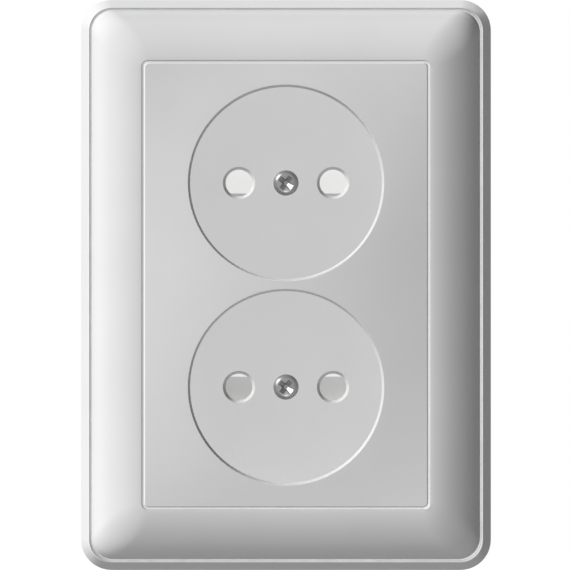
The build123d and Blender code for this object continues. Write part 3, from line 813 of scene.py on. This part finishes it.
def buildScrew(shape, name, x, y, body, node, mirrored=1):
    bm = bmesh.new()
    steps = screwForm["round"]
    spinOutline(bm, shape["head"], x, y, steps)
    turns = [mirrored * turn for turn in shape["turns"]]
    cutters = [driveBar(x, y, shape["top"], shape["bar"], turn) for turn in turns]
    if "cone" in shape:
        cone = bmesh.new()
        spinOutline(cone, shape["cone"], x, y, steps)
        bmesh.ops.recalc_face_normals(cone, faces=cone.faces)
        cutters.append(cone)
    bm = carve(bm, cutters)
    addMarks(bm)
    bm.normal_update()
    # painted shade on the sloped walls of the drive recess
    layDown(bm, "painted_shade", shape["painted_shade"], [f for f in bm.faces if inRecess(f, x, y, shape, turns)])
    spinOutline(bm, shape["shank"], x, y, steps)
    addThread(bm, x, y, shape["thread"])
    keepPiece(bm, name, screwSteel, body, node, screwForm["smooth"])


for label, side in (("upper", 1), ("lower", -1)):
    screwY = side * coverSizes["wellY"]
    buildScrew(coverScrew, "coverScrew." + label, 0.0, screwY, "socket", "cover_screw_" + label)
for label, side in (("right", 1), ("left", -1)):
    screwBody = "terminal_screw_" + label
    screwX = side * terminalScrew["x"]
    buildScrew(terminalScrew, "terminalScrew." + label, screwX, 0.0, screwBody, screwBody, side)
    screwBody = "claw_screw_" + label
    screwX = side * clawScrew["x"]
    buildScrew(clawScrew, "clawScrew." + label, screwX, 0.0, screwBody, screwBody, side)
print("screws turned")


# Shutter springs: a wire ring carried round the axis, close wound at both ends

springShape = {
    "radius": 1.15, "wire": 0.18, "wireSides": 10, "level": -1.35, "start": 1.83, "end": 12.27,
    "turns": 6, "closed": 0.9, "closedPitch": 1.02, "steps": 26, "smooth": 50.0,
    "anchor": (0.0, 0.00135, 0.00165), "shortest": 0.37,
}


def windSpring(shape, label, side):
    bm = bmesh.new()
    sides = shape["wireSides"]
    ring = bmesh.ops.create_circle(bm, cap_ends=True, segments=sides, radius=shape["wire"])["verts"]
    geom = ring + once(e for v in ring for e in v.link_edges) + list(ring[0].link_faces)
    turnOver = Matrix.Rotation(math.radians(180), 3, Vector((1.0, 1.0, 0.0)))
    bmesh.ops.rotate(bm, cent=(0.0, 0.0, 0.0), matrix=turnOver, verts=ring)
    bmesh.ops.translate(bm, vec=(shape["radius"], shape["start"], shape["level"]), verts=ring)
    closed = shape["closed"]
    closedRise = 2 * shape["wire"] * shape["closedPitch"]
    openRise = (shape["end"] - shape["start"] - 2 * closedRise * closed) / shape["turns"]
    for turns, rise in ((closed, closedRise), (shape["turns"], openRise), (closed, closedRise)):
        count = int(round(turns * shape["steps"]))
        made = bmesh.ops.spin(
            bm, geom=geom, cent=(0.0, 0.0, shape["level"]), axis=(0.0, 1.0, 0.0),
            dvec=(0.0, rise * turns / count, 0.0), angle=math.radians(360.0 * turns), steps=count,
            use_merge=False,
        )
        geom = made["geom_last"]
    if side < 0:
        bmesh.ops.scale(bm, vec=(1.0, -1.0, 1.0), verts=bm.verts)
    node = "shutter_spring_" + label
    piece = keepPiece(bm, "shutterSpring." + label, platedSteel, "socket", node, shape["smooth"])
    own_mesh(piece)


windSpring(springShape, "upper", 1)
windSpring(springShape, "lower", -1)
print("springs wound")


# Moulded and pressed parts: the solids with their edges broken

softEdges = {
    "merge": 0.000004, "weld": 1e-7, "millimetre": 0.001,
    "flatAngle": 1.0, "sharpAngle": 28.0, "segments": 2, "smooth": 34.0,
}


def softCopy(node, name, material, body, width, cutters=()):
    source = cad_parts[node]
    bm = bmesh.new()
    bm.from_mesh(source.data)
    bmesh.ops.transform(bm, matrix=source.matrix_world, verts=bm.verts)
    bmesh.ops.remove_doubles(bm, verts=bm.verts, dist=softEdges["merge"])
    bmesh.ops.dissolve_limit(
        bm, angle_limit=math.radians(softEdges["flatAngle"]), use_dissolve_boundaries=False,
        verts=bm.verts, edges=bm.edges,
    )
    limit = math.radians(softEdges["sharpAngle"])
    sharp = [e for e in bm.edges if len(e.link_faces) == 2 and e.calc_face_angle() > limit]
    bevelEdges(bm, sharp, width * softEdges["millimetre"], softEdges["segments"], clamped=False)
    if cutters:
        for cutter in cutters:
            bmesh.ops.transform(cutter, matrix=standUp, verts=cutter.verts)
        bm = carve(bm, cutters, softEdges["weld"])
    keepPiece(bm, name, material, body, node, softEdges["smooth"], Matrix.Identity(4), softEdges["weld"])


# Ejector marks and the stripping gauge in the back of the base
baseMarks = {
    "ejectors": (
        (0.0, 23.5, 1.9), (0.0, -23.5, 1.9),
        (15.2, 15.0, 1.3), (15.2, -15.0, 1.3), (-15.2, 15.0, 1.3), (-15.2, -15.0, 1.3),
    ),
    "back": -25.0, "outside": 1.0, "depth": 0.3, "edge": 0.08, "round": 32, "weld": 0.0005,
    "gauge": {"length": 11.0, "width": 2.2, "depth": 0.45, "draw": 0.94, "down": 1}, "gaugeTurn": 90.0,
}


def markCutters(marks):
    cutters = [driveBar(0.0, 0.0, marks["back"], marks["gauge"], marks["gaugeTurn"])]
    low = marks["back"] - marks["outside"]
    high = marks["back"] + marks["depth"]
    edge = marks["edge"]
    for x, y, radius in marks["ejectors"]:
        disc = bmesh.new()
        outline = ((0.0, low), (radius, low), (radius, high - edge), (radius - edge, high), (0.0, high))
        spinOutline(disc, outline, x, y, marks["round"])
        bmesh.ops.remove_doubles(disc, verts=disc.verts, dist=marks["weld"])
        bmesh.ops.recalc_face_normals(disc, faces=disc.faces)
        cutters.append(disc)
    return cutters


# the last number is the width of the broken edges
softCopy("socket_base", "socketBase", basePlastic, "socket", 0.25, markCutters(baseMarks))
softCopy("contact_tray", "contactTray", basePlastic, "socket", 0.15)
softCopy("support_plate", "supportPlate", platedSteel, "socket", 0.12)
for label in ("upper", "lower"):
    shutterBody = "shutter_" + label
    softCopy(shutterBody, "shutter." + label, whitePlastic, shutterBody, 0.12)
    softCopy("cover_nut_" + label, "coverNut." + label, platedSteel, "socket", 0.15)
for label in ("right", "left"):
    clampBody = "terminal_clamp_" + label
    clawBody = "claw_" + label
    softCopy("contact_strip_" + label, "contactStrip." + label, contactBrass, "socket", 0.1)
    softCopy(clampBody, "terminalClamp." + label, platedSteel, clampBody, 0.15)
    softCopy(clawBody, "claw." + label, platedSteel, clawBody, 0.15)
    softCopy("claw_pin_" + label, "clawPin." + label, platedSteel, "socket", 0.2)
print("moulded and pressed parts softened")


# Camera, lights and floor

cameraSetup = {"lens": 1200.0, "viewHeight": 0.1152, "sensor": 36.0, "across": -0.0002, "far": 50.0}
lightSetup = {
    "key": {"comesFrom": (-1.25, -0.58, 0.95), "strength": 5.0, "shadow": False, "spread": 30.0},
    "fill": {"comesFrom": (0.0, -0.3, -0.22), "strength": 1.18, "shadow": False, "spread": 20.0},
    "back": {"comesFrom": (0.5, 1.0, 0.6), "strength": 1.7, "shadow": True, "spread": 20.0},
    "ambient": 0.14,
}
floorSetup = {"radius": 0.2, "round": 96, "colour": (0.8, 0.8, 0.8), "roughness": 0.9, "specular": 0.1}


def setCamera(setup):
    data = bpy.data.cameras.new("camera")
    data.lens = setup["lens"]
    data.sensor_width = setup["sensor"]
    data.clip_end = setup["far"]
    camera = bpy.data.objects.new("camera", data)
    distance = setup["lens"] * setup["viewHeight"] / setup["sensor"]
    camera.location = (setup["across"], -distance, 0.0)
    camera.rotation_euler = (math.radians(90), 0.0, 0.0)
    scene.collection.objects.link(camera)
    scene.camera = camera


def setSun(name, lamp):
    data = bpy.data.lights.new(name, "SUN")
    data.energy = lamp["strength"]
    data.angle = math.radians(lamp["spread"])
    data.use_shadow = lamp["shadow"]
    sun = bpy.data.objects.new(name, data)
    sun.rotation_mode = "QUATERNION"
    sun.rotation_quaternion = (-Vector(lamp["comesFrom"])).to_track_quat("-Z", "Y")
    scene.collection.objects.link(sun)


def largerOf(tree, first, second):
    node = tree.nodes.new("ShaderNodeMath")
    node.operation = "MAXIMUM"
    tree.links.new(first, node.inputs[0])
    tree.links.new(second, node.inputs[1])
    return node.outputs["Value"]


# White where it is seen straight on or in a reflection, a soft grey light everywhere else
def setWorld(ambient):
    world = bpy.data.worlds.new("studio")
    scene.world = world
    world.use_nodes = True
    tree = world.node_tree
    tree.nodes.clear()
    path = tree.nodes.new("ShaderNodeLightPath").outputs
    mirrored = largerOf(tree, path["Is Glossy Ray"], path["Is Transmission Ray"])
    seen = largerOf(tree, path["Is Camera Ray"], mirrored)
    strength = tree.nodes.new("ShaderNodeMapRange")
    strength.inputs["To Min"].default_value = ambient
    strength.inputs["To Max"].default_value = 1.0
    tree.links.new(seen, strength.inputs["Value"])
    backdrop = tree.nodes.new("ShaderNodeBackground")
    backdrop.inputs["Color"].default_value = (1.0, 1.0, 1.0, 1.0)
    tree.links.new(strength.outputs["Result"], backdrop.inputs["Strength"])
    out = tree.nodes.new("ShaderNodeOutputWorld")
    tree.links.new(backdrop.outputs["Background"], out.inputs["Surface"])


def setFloor(setup):
    bm = bmesh.new()
    bmesh.ops.create_circle(bm, cap_ends=True, segments=setup["round"], radius=setup["radius"])
    bmesh.ops.translate(bm, vec=(0.0, 0.0, cadBox[0].z), verts=bm.verts)
    floor = tempObject(bm, "floor")
    material = bpy.data.materials.new("floorPaper")
    material.use_nodes = True
    shader = material.node_tree.nodes["Principled BSDF"]
    shader.inputs["Base Color"].default_value = (*setup["colour"], 1.0)
    shader.inputs["Roughness"].default_value = setup["roughness"]
    shader.inputs["Specular IOR Level"].default_value = setup["specular"]
    floor.data.materials.append(material)
    floor.visible_diffuse = False


setCamera(cameraSetup)
for name in ("key", "fill", "back"):
    setSun(name + "Light", lightSetup[name])
setWorld(lightSetup["ambient"])
setFloor(floorSetup)
scene.view_settings.view_transform = "Standard"
print("camera, lights and floor set")
